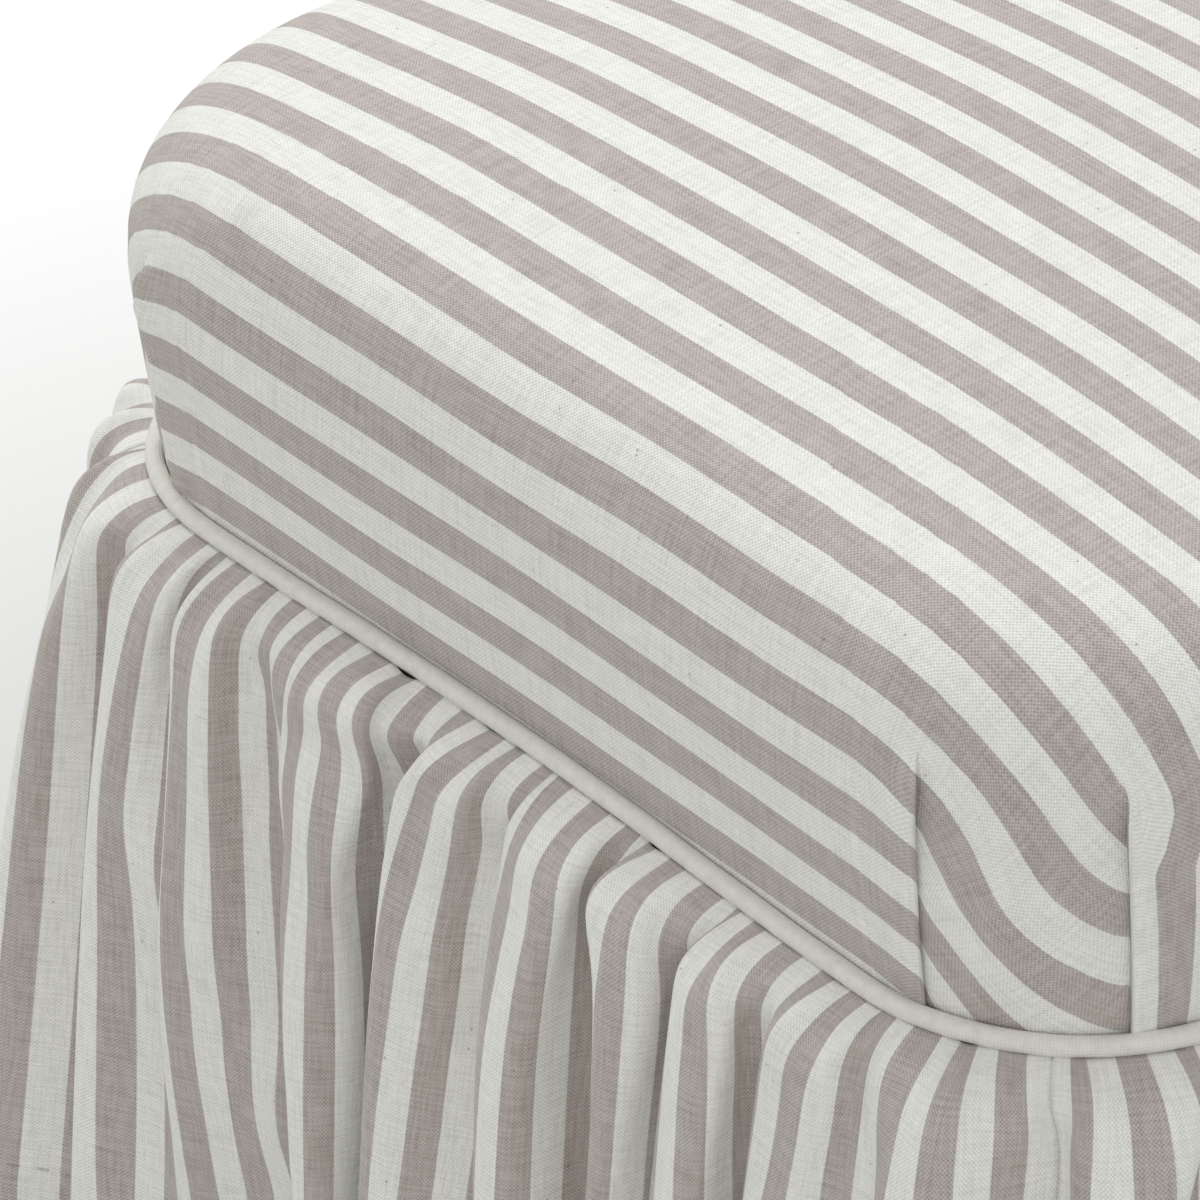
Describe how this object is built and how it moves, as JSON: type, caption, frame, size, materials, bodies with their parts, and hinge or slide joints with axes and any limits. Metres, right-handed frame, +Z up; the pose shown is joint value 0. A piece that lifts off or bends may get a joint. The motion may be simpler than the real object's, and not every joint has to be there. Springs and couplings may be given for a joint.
{
  "type": "skirted ottoman",
  "caption": "Square padded footstool with a crowned, pleated striped cover, a welt and a loose gathered floor-length skirt over a hidden wooden frame and legs.",
  "frame": {"origin": "on the floor, under the middle of the ottoman", "axes": "+Z up, -Y to the front, where the cover's stripes run up and down; +X to the right"},
  "size_m": [0.5692, 0.5692, 0.457],
  "materials": {
    "striped_cloth": "plain-weave linen blend, taupe and off-white half-inch stripes",
    "welt_cloth": "bias-cut plain weave, off-white",
    "cotton_cord": "soft cotton filler",
    "seat_foam": "open-cell seat foam",
    "batting": "bonded polyester fibre",
    "deck_cloth": "woven deck cloth",
    "webbing": "elastic webbing",
    "cambric": "black non-woven cambric",
    "card": "pressed card",
    "frame_wood": "planed, unfinished",
    "leg_wood": "stained and lacquered",
    "glide_nylon": "moulded nylon",
    "insert_brass": "turned",
    "steel_fasteners": "zinc plated"
  },
  "bodies": {
    "root": {"back_left_glide": "glide_nylon", "back_left_leg": "leg_wood", "back_left_post": "frame_wood", "back_rail": "frame_wood", "back_right_glide": "glide_nylon", "back_right_leg": "leg_wood", "back_right_post": "frame_wood", "batting_wrap": "batting", "cover_staples": "steel_fasteners", "cross_strap_1": "webbing", "cross_strap_2": "webbing", "cross_strap_3": "webbing", "cross_strap_4": "webbing", "deck_cloth": "deck_cloth", "dust_cover": "cambric", "dust_cover_staples": "steel_fasteners", "foam_core": "seat_foam", "frame_dowels": "frame_wood", "front_left_glide": "glide_nylon", "front_left_leg": "leg_wood", "front_left_post": "frame_wood", "front_rail": "frame_wood", "front_right_glide": "glide_nylon", "front_right_leg": "leg_wood", "front_right_post": "frame_wood", "glide_nails": "steel_fasteners", "hanger_bolts": "steel_fasteners", "left_rail": "frame_wood", "long_strap_1": "webbing", "long_strap_2": "webbing", "long_strap_3": "webbing", "long_strap_4": "webbing", "right_rail": "frame_wood", "skirt_back": "striped_cloth", "skirt_front": "striped_cloth", "skirt_left": "striped_cloth", "skirt_right": "striped_cloth", "skirt_staples": "steel_fasteners", "tack_strip": "card", "threaded_inserts": "insert_brass", "top_cover": "striped_cloth", "webbing_staples": "steel_fasteners", "welt_casing": "welt_cloth", "welt_cord": "cotton_cord"}
  },
  "joints": []
}
